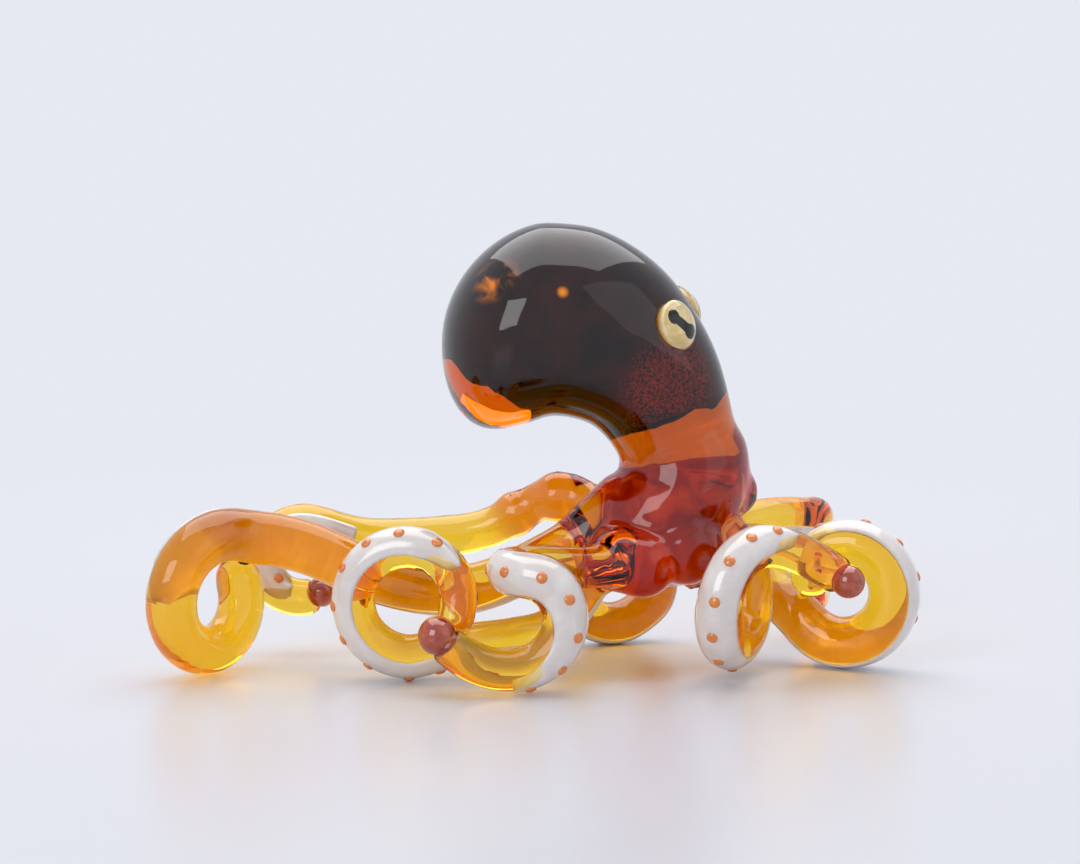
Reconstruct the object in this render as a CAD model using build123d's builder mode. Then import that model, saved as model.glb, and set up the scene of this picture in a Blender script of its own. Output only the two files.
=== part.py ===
from build123d import *
import os
from dataclasses import dataclass
from math import asin, ceil, cos, degrees, radians, sin, sqrt

# A flameworked glass octopus that stands on the curls of its eight arms.
# Millimetres, +Z up, the table at Z 0, the head leaning towards -X, the viewer at -Y.

# Rod of the arms, round in section, with a white strip fused into its belly
ROD_ROOT_RADIUS = 3.2
ROD_MIDDLE_RADIUS = 3.7
ROD_TIP_RADIUS = 3.2
BELLY_HALF_ANGLE = 66
BELLY_ROOT_HALF_ANGLE = 30
BELLY_FADE = 0.3
STATION_STEP = 3.0
CURL_STEP = 30
CARRY_STEPS = 60
SEAM = 0.08

# Suckers, one row of low domes along each white strip
SUCKER_RADIUS = 0.85
SUCKER_HEIGHT = 0.5
SUCKER_SPACING = 4.4
SUCKER_LIFT = 0.12
SUCKER_FIRST = 0.28
SUCKER_LAST = 0.93

# Beads melted onto the tips
BEAD_SEAT = 0.8

# Web that joins the arms under the neck
HUB_X = 20.0
ROOT_REACH = 13.0
BOSS_LENGTH = 7.0

# Head: clear casing over a dark core, with an amber core in the neck
CASING_WALL = 1.8
DOME_LENGTH = 13.5
DOME_TILT = 88
DOME_DROOP = 99
DOME_ANGLES = (25, 45, 62, 76, 86)

# Eyes: an ivory disc in a pocket of the casing, a black slit and a clear lens
EYE_RADIUS = 3.8
EYE_POCKET = 1.2
EYE_HEIGHT = 1.7
EYE_SPREAD = 33
EYE_PITCH = 14
HEAD_ROLL = 9
LENS_HEIGHT = 1.6
PUPIL_LENGTH = 5.4
PUPIL_WIDTH = 1.2
PUPIL_END_RADIUS = 0.9
PUPIL_DEPTH = 0.4
PUPIL_TURN = 24

UP = Vector(0, 0, 1)
VIEWER = Vector(0, -1, 0)


@dataclass
class Station:
    """Round section of the head or web, in the plane Y 0 of the body's bend."""

    x: float
    z: float
    tilt: float
    radius: float

    def plane(self):
        """Plane of the section, its X towards the octopus's back, its Z along the body."""
        lean = radians(self.tilt)
        return Plane((self.x, 0, self.z), x_dir=(cos(lean), 0, sin(lean)), z_dir=(-sin(lean), 0, cos(lean)))


@dataclass
class Arm:
    """One arm: where it leaves the web, the points of its run, and the upright curl that ends it."""

    name: str
    root_angle: float
    root_height: float
    root_slope: float
    run: list
    centre: tuple
    radius: float
    end_radius: float
    heading: float
    start: float
    sweep: float
    girth: float = 1.0
    tightening: float = 1.0
    drift: float = 0.0
    drift_power: float = 1.0
    facing: float = 0.0
    twist: float = 0.0
    lift: float = 0.0
    bead: float = 2.5


COLLAR = Station(19.9, 40.7, 13, 11.1)
HEAD = [
    Station(23.4, 34.2, 10, 10.2),
    Station(21.7, 37.2, 9, 10.2),
    COLLAR,
    Station(17.3, 44.9, 26, 12.5),
    Station(14.8, 47.7, 35, 13.6),
    Station(10.4, 51.8, 53, 15.1),
    Station(4.5, 54.2, 70, 16.4),
    Station(-1.9, 54.3, 79, 16.8),
]
EYE_STATION = Station(13.9, 48.6, 38.5, 13.85)
WEB = [
    HEAD[0],
    Station(23.2, 30.8, 4, 11.0),
    Station(22.0, 27.8, 0, 12.0),
    Station(20.6, 24.4, 0, 12.2),
    Station(19.8, 20.5, 0, 11.2),
    Station(19.8, 16.5, 0, 9.4),
    Station(20.0, 13.2, 0, 7.6),
]

ARMS = [
    Arm("left_arch", 187, 20.5, -0.55, [(-5, -5.5, 14.6), (-15, -7.5, 12.8), (-28, -8.5, 16.2), (-37, -8.6, 20)],
        (-49, -13), 10.8, 7.4, 46, 62, 315, girth=1.18, tightening=0.7, drift=-5, facing=-90),
    Arm("front_left_ring", 217, 15.5, -0.8, [(4.4, -10.6, 8.9), (-4, -13.6, 6.3)],
        (-19.6, -16), 9.1, 7.4, 0, -62, -318, girth=0.95, tightening=2, drift=5.2, drift_power=2, facing=12, twist=18),
    Arm("front_curl", 247, 17.8, 0,
        [(9.4, -15.6, 17.7), (2.4, -15.4, 17.7), (-2.3, -16.8, 17.9), (-4.1, -20.8, 18.1), (-2.4, -24.8, 18)],
        (-2.8, -26.5), 7.1, 11.5, 0, 54, -216, girth=1.0, tightening=5, drift=2, facing=80, twist=-130, bead=3.0),
    Arm("back_left", 142, 24, 0.4,
        [(5.2, 11, 26.2), (-1, 13, 23.6), (-8.5, 13.9, 19.6), (-17.8, 14, 18.2), (-29, 12, 18.4)],
        (-38.5, 8), 6.6, 5.4, 0, 70, 222, girth=0.98, drift=2, facing=115, lift=6.2),
    Arm("back_ring", 92, 21.5, -0.3, [],
        (12.6, 15.2), 8.6, 7.8, 25, -18, -210, girth=0.97, drift=-1.5, facing=-25),
    Arm("front_right_ring", 337, 19.5, -0.5, [],
        (30.8, -14), 8.8, 4.8, 66, -34, -292, tightening=5, drift=16, drift_power=4, lift=1.0, bead=2.6),
    Arm("right_spiral", 11, 17, -0.5, [(38, 0.8, 11.8)],
        (48.8, -5.5), 8.9, 4.8, -20, 215, 300, girth=1.14, tightening=3.5, drift=3.5, facing=-30),
    Arm("back_right", 43, 19, 0.4, [(37.5, 13.5, 21.6)],
        (46, 21), 7.5, 6, 80, 100, -220, girth=0.97, facing=180, lift=4.0),
]


def smooth(share):
    """Ease from 0 to 1 with level ends."""
    share = min(max(share, 0), 1)
    return share * share * (3 - 2 * share)


def curl_directions(arm):
    """Level direction of the curl's plane, and the side of that plane that the drift follows."""
    ahead = Vector(cos(radians(arm.heading)), sin(radians(arm.heading)), 0)
    return ahead, ahead.cross(UP)


def curl_point(arm, height, share):
    """Point of the curl at a share of its sweep, its axis at the given height."""
    ahead, side = curl_directions(arm)
    angle = radians(arm.start + arm.sweep * share)
    radius = arm.radius + (arm.end_radius - arm.radius) * share**arm.tightening
    outward = ahead * cos(angle) + UP * sin(angle)
    return Vector(*arm.centre, height) + outward * radius + side * arm.drift * share**arm.drift_power


def rod_radius(arm, share):
    """Radius of an arm at a share of its length."""
    if share < 0.5:
        base = ROD_ROOT_RADIUS + (ROD_MIDDLE_RADIUS - ROD_ROOT_RADIUS) * share / 0.5
    else:
        base = ROD_MIDDLE_RADIUS + (ROD_TIP_RADIUS - ROD_MIDDLE_RADIUS) * (share - 0.5) / 0.5
    return base * arm.girth


def belly_half_angle(share):
    """Half the angle that the white strip takes of the rod: narrow at the root, then full."""
    return BELLY_ROOT_HALF_ANGLE + (BELLY_HALF_ANGLE - BELLY_ROOT_HALF_ANGLE) * smooth(share / BELLY_FADE)


def root_direction(arm):
    """Direction in which an arm leaves the web."""
    turn = radians(arm.root_angle)
    return Vector(cos(turn), sin(turn), arm.root_slope).normalized()


def root_point(arm):
    """Centre of the arm's root on the web."""
    turn = radians(arm.root_angle)
    return Vector(HUB_X + ROOT_REACH * cos(turn), ROOT_REACH * sin(turn), arm.root_height)


def centre_line(arm, height):
    """Smooth line from the web along the run and round the curl, and the curl's first share of it."""
    steps = ceil(abs(arm.sweep) / CURL_STEP)
    curl = [curl_point(arm, height, step / steps) for step in range(steps + 1)]
    finish = (curl[-1] - curl_point(arm, height, 1 - 0.1 / steps)).normalized()
    points = [root_point(arm), *map(Vector, arm.run), *curl]
    chords = [sqrt((after - before).length) for before, after in zip(points, points[1:])]
    line = Edge.make_spline(
        points,
        tangents=[root_direction(arm) * chords[0], finish * chords[-1]],
        parameters=[sum(chords[:count]) for count in range(len(points))],
        scale=False,
    )
    return line, line.param_at_point(curl[0])


def carried_down(line, share):
    """Direction that starts straight down at the root and follows the line without turning about it."""
    facing = UP * -1
    for step in range(CARRY_STEPS + 1):
        tangent = line % (share * step / CARRY_STEPS)
        facing = (facing - tangent * facing.dot(tangent)).normalized()
    return facing


def curl_roll(arm, height, line, curl_share):
    """Turn of the white strip about the rod, from the root to the curl, that faces it as the arm asks."""
    ahead, side = curl_directions(arm)
    viewer_side = side if side.dot(VIEWER) > 0 else side * -1
    point, tangent = line @ curl_share, line % curl_share
    spoke = point - Vector(*arm.centre, height)
    outward = (spoke - side * spoke.dot(side)).normalized()
    facing = outward * cos(radians(arm.facing)) + viewer_side * sin(radians(arm.facing))
    square = facing - tangent * facing.dot(tangent)
    return carried_down(line, curl_share).get_signed_angle(square, tangent)


def arm_frames(arm, height, shares=None):
    """Planes square to the arm, X towards the white strip, with the rod's radius and the strip's half angle."""
    line, curl_share = centre_line(arm, height)
    count = ceil(line.length / STATION_STEP)
    roll = curl_roll(arm, height, line, curl_share)
    frames = []
    for share in shares or [station / count for station in range(count + 1)]:
        point, tangent = line @ share, line % share
        curled = max(share - curl_share, 0) / (1 - curl_share)
        turn = roll * smooth(share / curl_share) + arm.twist * curled
        facing = carried_down(line, share).rotate(Axis((0, 0, 0), tangent), turn)
        plane = Plane(point, x_dir=facing, z_dir=tangent)
        frames.append((plane, rod_radius(arm, share), belly_half_angle(share)))
    return frames


def curl_height(arm):
    """Height of the curl's axis at which the arm's lowest point is its lift above the table."""
    guess = arm.radius + ROD_MIDDLE_RADIUS
    lows = []
    for plane, radius, _ in arm_frames(arm, guess):
        rod_low = radius * sqrt(1 - plane.z_dir.Z**2)
        sucker_low = -plane.x_dir.Z * (radius + SUCKER_LIFT + SUCKER_HEIGHT)
        lows.append(plane.origin.Z - max(rod_low, sucker_low))
    return guess + arm.lift - min(lows)


def on_circle(radius, angle):
    """Point of a circle about the section's centre, at an angle in degrees."""
    return radius * cos(radians(angle)), radius * sin(radians(angle))


def rod_section(plane, radius, half_angle):
    """Round rod with a flat belly that takes the white strip."""
    left, right = on_circle(radius, half_angle), on_circle(radius, -half_angle)
    with BuildSketch(plane) as section:
        with BuildLine():
            ThreePointArc(left, (-radius, 0), right)
            Line(right, left)
        make_face()
    return section.sketch


def belly_section(plane, radius, half_angle):
    """White strip that fills the rod's flat belly out to the round, from the first station on."""
    foot = radius * cos(radians(half_angle)) + SEAM
    edge = sqrt(radius**2 - foot**2)
    with BuildSketch(plane) as section:
        with BuildLine():
            ThreePointArc((foot, -edge), (radius, 0), (foot, edge))
            Line((foot, edge), (foot, -edge))
        make_face()
    return section.sketch


def low_dome(foot_radius, height):
    """Cap of a ball on a flat round foot, standing at the current location."""
    ball = (foot_radius**2 + height**2) / (2 * height)
    foot_latitude = degrees(asin((ball - height) / ball))
    return Sphere(ball, arc_size1=foot_latitude, align=(Align.CENTER, Align.CENTER, Align.MIN))


def keep(piece, name):
    """Name a finished piece and write it."""
    piece.label = name
    export_step(piece, f"parts/{name}.step")


def make_arm(arm):
    """Rod, white strip, suckers and tip bead of one arm."""
    height = curl_height(arm)
    frames = arm_frames(arm, height)

    with BuildPart() as rod:
        loft([rod_section(*frame) for frame in frames])
    keep(rod.part, f"arm_{arm.name}")

    with BuildPart() as belly:
        loft([belly_section(*frame) for frame in frames[1:]])
    keep(belly.part, f"belly_{arm.name}")

    length = centre_line(arm, height)[0].length
    count = int((SUCKER_LAST - SUCKER_FIRST) * length / SUCKER_SPACING)
    shares = [SUCKER_FIRST + step * SUCKER_SPACING / length for step in range(count + 1)]
    with BuildPart() as suckers:
        for plane, radius, _ in arm_frames(arm, height, shares):
            with Locations(Plane(plane.origin + plane.x_dir * (radius + SUCKER_LIFT), z_dir=plane.x_dir)):
                low_dome(SUCKER_RADIUS, SUCKER_HEIGHT)
    keep(suckers.part, f"suckers_{arm.name}")

    tip = frames[-1][0]
    stand = arm.bead * sqrt(1 - BEAD_SEAT**2)
    with BuildPart() as bead:
        with Locations(tip.offset(stand)):
            Sphere(arm.bead)
        split(bisect_by=tip, keep=Keep.TOP)
    keep(bead.part, f"bead_{arm.name}")


def round_section(station, inset=0.0):
    """Round section of the head or web, drawn in by a wall."""
    with BuildSketch(station.plane()) as section:
        Circle(station.radius - inset)
    return section.sketch


def head_sections(inset=0.0):
    """Sections of the head from the neck to the tip of the dome, drawn in by a wall."""
    base = HEAD[-1]
    droop = radians(DOME_DROOP)
    sections = [round_section(station, inset) for station in HEAD]
    for angle in DOME_ANGLES:
        reach = (DOME_LENGTH - inset) * sin(radians(angle))
        tilt = base.tilt + (DOME_TILT - base.tilt) * angle / 90
        radius = (base.radius - inset) * cos(radians(angle))
        sections.append(round_section(Station(base.x - reach * sin(droop), base.z + reach * cos(droop), tilt, radius)))
    return sections


def eye_plane(side):
    """Floor of an eye's pocket, X along the slit, Z out of the head. Side is 1 near the viewer, -1 behind."""
    section = EYE_STATION.plane()
    turn = radians(HEAD_ROLL + side * EYE_SPREAD)
    spoke = section.x_dir * cos(turn) + VIEWER * sin(turn)
    pitch = radians(EYE_PITCH)
    outward = spoke * cos(pitch) - section.z_dir * sin(pitch)
    surface = section.origin + spoke * EYE_STATION.radius
    slit = section.z_dir.cross(outward).cross(outward).rotate(Axis((0, 0, 0), outward), side * PUPIL_TURN)
    return Plane(surface - outward * EYE_POCKET, x_dir=slit, z_dir=outward)


def make_head():
    """Clear casing with its two eye pockets, dark core of the mantle and amber core of the neck."""
    with BuildPart() as casing:
        loft(head_sections())
        loft(head_sections(CASING_WALL), mode=Mode.SUBTRACT)
        for side in (1, -1):
            with BuildSketch(eye_plane(side)):
                Circle(EYE_RADIUS + SEAM)
            extrude(amount=2 * EYE_RADIUS, mode=Mode.SUBTRACT)
    keep(casing.part, "mantle_casing")

    collar = COLLAR.plane()
    with BuildPart() as mantle_core:
        loft(head_sections(CASING_WALL + SEAM))
        split(bisect_by=collar, keep=Keep.TOP)
    keep(mantle_core.part, "mantle_core")

    with BuildPart() as neck_core:
        loft(head_sections(CASING_WALL + SEAM))
        split(bisect_by=collar, keep=Keep.BOTTOM)
    keep(neck_core.part, "neck_core")


def make_web():
    """Skirt from the neck down to its flat underside, with a round boss for each arm."""
    with BuildPart() as web:
        loft([round_section(station) for station in WEB])
        for arm in ARMS:
            with BuildSketch(Plane(root_point(arm), z_dir=root_direction(arm) * -1)):
                Circle(rod_radius(arm, 0))
            extrude(amount=BOSS_LENGTH)
    keep(web.part, "web")


def pupil_outline(plane, margin=0.0):
    """Slit with rounded, swollen ends."""
    reach = PUPIL_LENGTH / 2 - PUPIL_END_RADIUS
    with BuildSketch(plane) as outline:
        Rectangle(2 * reach, PUPIL_WIDTH + 2 * margin)
        with Locations((-reach, 0), (reach, 0)):
            Circle(PUPIL_END_RADIUS + margin)
    return outline.sketch


def make_eye(name, side):
    """Ivory disc, black slit let into its front, and the clear lens over both."""
    floor = eye_plane(side)
    front = floor.offset(EYE_HEIGHT)

    with BuildPart() as eyeball:
        with BuildSketch(floor):
            Circle(EYE_RADIUS)
        extrude(amount=EYE_HEIGHT)
        extrude(pupil_outline(front, SEAM), amount=-PUPIL_DEPTH, mode=Mode.SUBTRACT)
    keep(eyeball.part, f"eyeball_{name}")

    with BuildPart() as pupil:
        extrude(pupil_outline(front), amount=-PUPIL_DEPTH)
    keep(pupil.part, f"pupil_{name}")

    with BuildPart() as lens:
        with Locations(front):
            low_dome(EYE_RADIUS, LENS_HEIGHT)
    keep(lens.part, f"lens_{name}")


os.makedirs("parts", exist_ok=True)
make_head()
make_web()
make_eye("near", 1)
make_eye("far", -1)
for arm in ARMS:
    make_arm(arm)
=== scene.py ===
"""A flameworked glass octopus that stands on the curls of its eight arms, on a pale studio floor.

Lengths are metres and angles degrees, in the frame of the solids: +X to the right of the picture,
+Y away from the viewer, +Z up, and the table at Z 0.
"""
import logging
import math
from dataclasses import dataclass
from enum import Enum

import bmesh
import bpy
import numpy as np
from mathutils import Matrix, Vector

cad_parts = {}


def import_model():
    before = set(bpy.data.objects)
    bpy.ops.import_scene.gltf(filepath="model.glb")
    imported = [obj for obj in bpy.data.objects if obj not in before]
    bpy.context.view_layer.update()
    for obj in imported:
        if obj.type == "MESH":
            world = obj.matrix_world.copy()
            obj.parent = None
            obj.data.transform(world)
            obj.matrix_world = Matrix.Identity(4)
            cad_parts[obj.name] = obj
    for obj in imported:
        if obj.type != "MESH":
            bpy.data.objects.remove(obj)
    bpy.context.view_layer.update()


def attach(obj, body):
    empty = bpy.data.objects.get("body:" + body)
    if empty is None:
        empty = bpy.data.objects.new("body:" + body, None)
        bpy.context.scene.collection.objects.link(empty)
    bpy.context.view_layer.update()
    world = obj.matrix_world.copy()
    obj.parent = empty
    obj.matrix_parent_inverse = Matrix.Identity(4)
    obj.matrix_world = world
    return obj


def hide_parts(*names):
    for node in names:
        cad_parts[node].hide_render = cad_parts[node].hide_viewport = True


log = logging.getLogger("glass_octopus")

Colour = tuple[float, float, float, float]
Point = tuple[float, float, float]
Waves = tuple[tuple[int, float, float], ...]

BODY = "root"
UP = Vector((0, 0, 1))
VIEWER = Vector((0, -1, 0))
MERGE_DISTANCE = 1e-7
FLOAT_SOCKET = "NodeSocketFloat"
VECTOR_SOCKET = "NodeSocketVector"
STREAK_DETAIL = 5
STREAK_DISTORTION = 0.8


# Finishes


class StreakSocket(Enum):
    """Names of the sockets of the shared streak group."""

    SCALE = "Scale"
    LOW = "Low"
    HIGH = "High"
    MASK = "Mask"


class FadeSocket(Enum):
    """Names of the sockets of the shared fade group."""

    CENTRE = "Centre"
    NEAR = "Near"
    FAR = "Far"
    MASK = "Mask"


def add_sockets(group: bpy.types.NodeTree, inputs: dict[Enum, str], mask: Enum) -> None:
    """Gives a node group its inputs and its one mask.

    Args:
        group: The node group.
        inputs: Input sockets, each with its type.
        mask: Output socket.
    """
    for socket, kind in inputs.items():
        group.interface.new_socket(socket.value, in_out="INPUT", socket_type=kind)
    group.interface.new_socket(mask.value, in_out="OUTPUT", socket_type=FLOAT_SOCKET)


def colour_streaks() -> bpy.types.NodeTree:
    """Wavy cloud of colour as it runs in stirred hot glass.

    Returns:
        The node group, made once.
    """
    group = bpy.data.node_groups.get("Colour Streaks")
    if group:
        return group
    group = bpy.data.node_groups.new("Colour Streaks", "ShaderNodeTree")
    numbers = (StreakSocket.SCALE, StreakSocket.LOW, StreakSocket.HIGH)
    add_sockets(group, dict.fromkeys(numbers, FLOAT_SOCKET), StreakSocket.MASK)
    inputs = group.nodes.new("NodeGroupInput")
    place = group.nodes.new("ShaderNodeTexCoord")
    noise = group.nodes.new("ShaderNodeTexNoise")
    noise.inputs["Detail"].default_value = STREAK_DETAIL
    noise.inputs["Distortion"].default_value = STREAK_DISTORTION
    ramp = group.nodes.new("ShaderNodeMapRange")
    ramp.interpolation_type = "SMOOTHSTEP"
    result = group.nodes.new("NodeGroupOutput")
    link = group.links.new
    link(place.outputs["Object"], noise.inputs["Vector"])
    link(inputs.outputs[StreakSocket.SCALE.value], noise.inputs["Scale"])
    link(noise.outputs["Fac"], ramp.inputs["Value"])
    link(inputs.outputs[StreakSocket.LOW.value], ramp.inputs["From Min"])
    link(inputs.outputs[StreakSocket.HIGH.value], ramp.inputs["From Max"])
    link(ramp.outputs["Result"], result.inputs[StreakSocket.MASK.value])
    return group


def distance_fade() -> bpy.types.NodeTree:
    """Soft spot of colour: 1 near a point of the piece, 0 far from it.

    Returns:
        The node group, made once.
    """
    group = bpy.data.node_groups.get("Distance Fade")
    if group:
        return group
    group = bpy.data.node_groups.new("Distance Fade", "ShaderNodeTree")
    kinds = {
        FadeSocket.CENTRE: VECTOR_SOCKET,
        FadeSocket.NEAR: FLOAT_SOCKET,
        FadeSocket.FAR: FLOAT_SOCKET,
    }
    add_sockets(group, kinds, FadeSocket.MASK)
    inputs = group.nodes.new("NodeGroupInput")
    place = group.nodes.new("ShaderNodeTexCoord")
    away = group.nodes.new("ShaderNodeVectorMath")
    away.operation = "DISTANCE"
    ramp = group.nodes.new("ShaderNodeMapRange")
    ramp.interpolation_type = "SMOOTHSTEP"
    ramp.inputs["To Min"].default_value = 1
    ramp.inputs["To Max"].default_value = 0
    result = group.nodes.new("NodeGroupOutput")
    link = group.links.new
    link(place.outputs["Object"], away.inputs[0])
    link(inputs.outputs[FadeSocket.CENTRE.value], away.inputs[1])
    link(away.outputs["Value"], ramp.inputs["Value"])
    link(inputs.outputs[FadeSocket.NEAR.value], ramp.inputs["From Min"])
    link(inputs.outputs[FadeSocket.FAR.value], ramp.inputs["From Max"])
    link(ramp.outputs["Result"], result.inputs[FadeSocket.MASK.value])
    return group


def place_group(
    tree: bpy.types.NodeTree, group: bpy.types.NodeTree, values: dict[Enum, float | Point]
) -> bpy.types.NodeSocket:
    """Places a shared group in a material with its own values.

    Args:
        tree: Node tree of the material.
        group: The shared group.
        values: Values of its inputs.

    Returns:
        The socket of its mask.
    """
    node = tree.nodes.new("ShaderNodeGroup")
    node.node_tree = group
    for socket, value in values.items():
        node.inputs[socket.value].default_value = value
    return node.outputs[0]


def seen_rays(tree: bpy.types.NodeTree) -> bpy.types.NodeSocket:
    """Mask of the rays that show the background: straight, reflected or through glass.

    Args:
        tree: Node tree of a material or world.

    Returns:
        The socket of the mask.
    """
    path = tree.nodes.new("ShaderNodeLightPath")
    seen = path.outputs["Is Camera Ray"]
    for kind in ("Is Glossy Ray", "Is Transmission Ray"):
        either = tree.nodes.new("ShaderNodeMath")
        either.operation = "MAXIMUM"
        tree.links.new(seen, either.inputs[0])
        tree.links.new(path.outputs[kind], either.inputs[1])
        seen = either.outputs[0]
    return seen


def new_material(name: str) -> tuple[bpy.types.Material, bpy.types.Node]:
    """Node material with its Principled shader.

    Args:
        name: Name of the material.

    Returns:
        The material and its Principled node.
    """
    material = bpy.data.materials.new(name)
    material.use_nodes = True
    return material, material.node_tree.nodes["Principled BSDF"]


@dataclass(frozen=True)
class Spot:
    """Patch of another colour in a glass, even or streaked."""

    colour: Colour
    centre: Point
    near: float
    far: float
    streak_scale: float = 0.0


class GlassColour:
    """Colour of a glass, mixed from streaks and patches in a material's node tree."""

    PATCH_STREAKS = (0.38, 0.62)

    def __init__(self, tree: bpy.types.NodeTree, base: Colour) -> None:
        """Starts from one even colour.

        Args:
            tree: Node tree of the material.
            base: The even colour.
        """
        self.tree = tree
        self.colour: bpy.types.NodeSocket | Colour = base

    def streaks(self, scale: float, low: float, high: float) -> bpy.types.NodeSocket:
        """Mask of the shared streak group.

        Args:
            scale: How fine the streaks are.
            low: Noise value at which they start.
            high: Noise value at which they are full.

        Returns:
            The socket of the mask.
        """
        values = {StreakSocket.SCALE: scale, StreakSocket.LOW: low, StreakSocket.HIGH: high}
        return place_group(self.tree, colour_streaks(), values)

    def lay(self, mask: bpy.types.NodeSocket, over: Colour) -> None:
        """Lays another colour over by a mask.

        Args:
            mask: Socket that says how much of it shows.
            over: The colour laid over.
        """
        mix = self.tree.nodes.new("ShaderNodeMix")
        mix.data_type = "RGBA"
        self.tree.links.new(mask, mix.inputs["Factor"])
        colours = {socket.name: socket for socket in mix.inputs if socket.type == "RGBA"}
        lower, upper = colours["A"], colours["B"]
        if isinstance(self.colour, bpy.types.NodeSocket):
            self.tree.links.new(self.colour, lower)
        else:
            lower.default_value = self.colour
        upper.default_value = over
        self.colour = next(socket for socket in mix.outputs if socket.type == "RGBA")

    def add_spots(self, spots: tuple[Spot, ...]) -> None:
        """Lays patches over, one after the other.

        Args:
            spots: The patches.
        """
        for spot in spots:
            values = {
                FadeSocket.CENTRE: spot.centre,
                FadeSocket.NEAR: spot.near,
                FadeSocket.FAR: spot.far,
            }
            mask = place_group(self.tree, distance_fade(), values)
            if spot.streak_scale:
                both = self.tree.nodes.new("ShaderNodeMath")
                both.operation = "MULTIPLY"
                self.tree.links.new(mask, both.inputs[0])
                broken = self.streaks(spot.streak_scale, *self.PATCH_STREAKS)
                self.tree.links.new(broken, both.inputs[1])
                mask = both.outputs[0]
            self.lay(mask, spot.colour)

    def feed(self, shader: bpy.types.Node) -> None:
        """Links the mixed colour to a shader's Base Color."""
        self.tree.links.new(self.colour, shader.inputs["Base Color"])


@dataclass(frozen=True)
class ClearGlass:
    """Glass to look through, coloured by its depth and by tinted patches."""

    name: str
    tint: Colour
    absorbs: Colour
    density: float
    shadow: Colour
    spots: tuple[Spot, ...] = ()
    ior: float = 1.5

    def material(self) -> bpy.types.Material:
        """Glass material, made once.

        Returns:
            The material, whose shadow lets coloured light through.
        """
        made = bpy.data.materials.get(self.name)
        if made:
            return made
        material, shader = new_material(self.name)
        tree = material.node_tree
        shader.inputs["Base Color"].default_value = self.tint
        if self.spots:
            colour = GlassColour(tree, self.tint)
            colour.add_spots(self.spots)
            colour.feed(shader)
        shader.inputs["Roughness"].default_value = 0.0
        shader.inputs["IOR"].default_value = self.ior
        shader.inputs["Transmission Weight"].default_value = 1.0
        output = tree.nodes["Material Output"]
        path = tree.nodes.new("ShaderNodeLightPath")
        through = tree.nodes.new("ShaderNodeBsdfTransparent")
        through.inputs["Color"].default_value = self.shadow
        mix = tree.nodes.new("ShaderNodeMixShader")
        link = tree.links.new
        link(path.outputs["Is Shadow Ray"], mix.inputs["Fac"])
        link(shader.outputs["BSDF"], mix.inputs[1])
        link(through.outputs["BSDF"], mix.inputs[2])
        link(mix.outputs["Shader"], output.inputs["Surface"])
        volume = tree.nodes.new("ShaderNodeVolumeAbsorption")
        volume.inputs["Color"].default_value = self.absorbs
        volume.inputs["Density"].default_value = self.density
        link(volume.outputs["Volume"], output.inputs["Volume"])
        return material


@dataclass(frozen=True)
class DenseGlass:
    """Glass so full of colour that little light passes, streaked, with patches of other colours."""

    name: str
    deep: Colour
    light: Colour
    streak_scale: float
    spots: tuple[Spot, ...] = ()
    roughness: float = 0.12
    coat: float = 1.0
    coat_roughness: float = 0.02
    specular: float = 0.5
    streak_low: float = 0.35
    streak_high: float = 0.75

    def material(self) -> bpy.types.Material:
        """Glossy opaque material with the streaks and patches, made once.

        Returns:
            The material.
        """
        made = bpy.data.materials.get(self.name)
        if made:
            return made
        material, shader = new_material(self.name)
        colour = GlassColour(material.node_tree, self.deep)
        streaks = colour.streaks(self.streak_scale, self.streak_low, self.streak_high)
        colour.lay(streaks, self.light)
        colour.add_spots(self.spots)
        colour.feed(shader)
        shader.inputs["Roughness"].default_value = self.roughness
        shader.inputs["Specular IOR Level"].default_value = self.specular
        shader.inputs["Coat Weight"].default_value = self.coat
        shader.inputs["Coat Roughness"].default_value = self.coat_roughness
        return material


AMBER = ClearGlass(
    "amber glass", (1, 0.86, 0.5, 1), (0.995, 0.88, 0, 1), 420, (1, 0.93, 0.76, 1),
    spots=(
        Spot((1, 0.8, 0.4, 1), (-0.045, -0.011, 0.014), 0.012, 0.032),
        Spot((0.85, 0.34, 0.09, 1), (0.002, 0.0115, 0.0245), 0.006, 0.014),
        Spot((0.82, 0.42, 0.2, 1), (0.0, 0.0, 0.055), 0.02, 0.028),
        Spot((0.66, 0.27, 0.09, 1), (0.022, 0.0, 0.04), 0.011, 0.02),
        Spot((0.5, 0.2, 0.08, 1), (0.022, 0.0, 0.036), 0.009, 0.018, 170),
        Spot((0.5, 0.17, 0.08, 1), (0.021, 0.0, 0.023), 0.009, 0.019),
    ),
)
LENS = ClearGlass("eye lens", (1, 1, 1, 1), (1, 1, 1, 1), 1, (1, 1, 1, 1))

MANTLE = DenseGlass(
    "dark mantle", (0.004, 0.0006, 0.0003, 1), (0.03, 0.004, 0.0012, 1), 140,
    spots=(
        Spot((1, 0.78, 0.1, 1), (-0.006, -0.0072, 0.0615), 0.001, 0.0046, 240),
        Spot((1, 0.95, 0.2, 1), (0.0039, -0.01, 0.0598), 0.0004, 0.0012),
        Spot((0.27, 0.032, 0.008, 1), (0.0212, -0.0075, 0.0445), 0.004, 0.0105, 2600),
    ),
    roughness=0.3, coat=0.0, specular=0.0,
)
SKIRT_CORE = DenseGlass(
    "deep red skirt", (0.36, 0.02, 0.003, 1), (0.72, 0.12, 0.012, 1), 190,
    roughness=0.3, coat=0.0, specular=0.0,
)
OPAL = DenseGlass(
    "white opal strip", (0.84, 0.77, 0.74, 1), (0.92, 0.88, 0.86, 1), 260, roughness=0.18
)
SUCKER = DenseGlass("orange sucker", (0.8, 0.2, 0.015, 1), (0.88, 0.3, 0.04, 1), 700)
BEAD = DenseGlass("red bead", (0.36, 0.03, 0.003, 1), (0.6, 0.09, 0.008, 1), 420)
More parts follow.
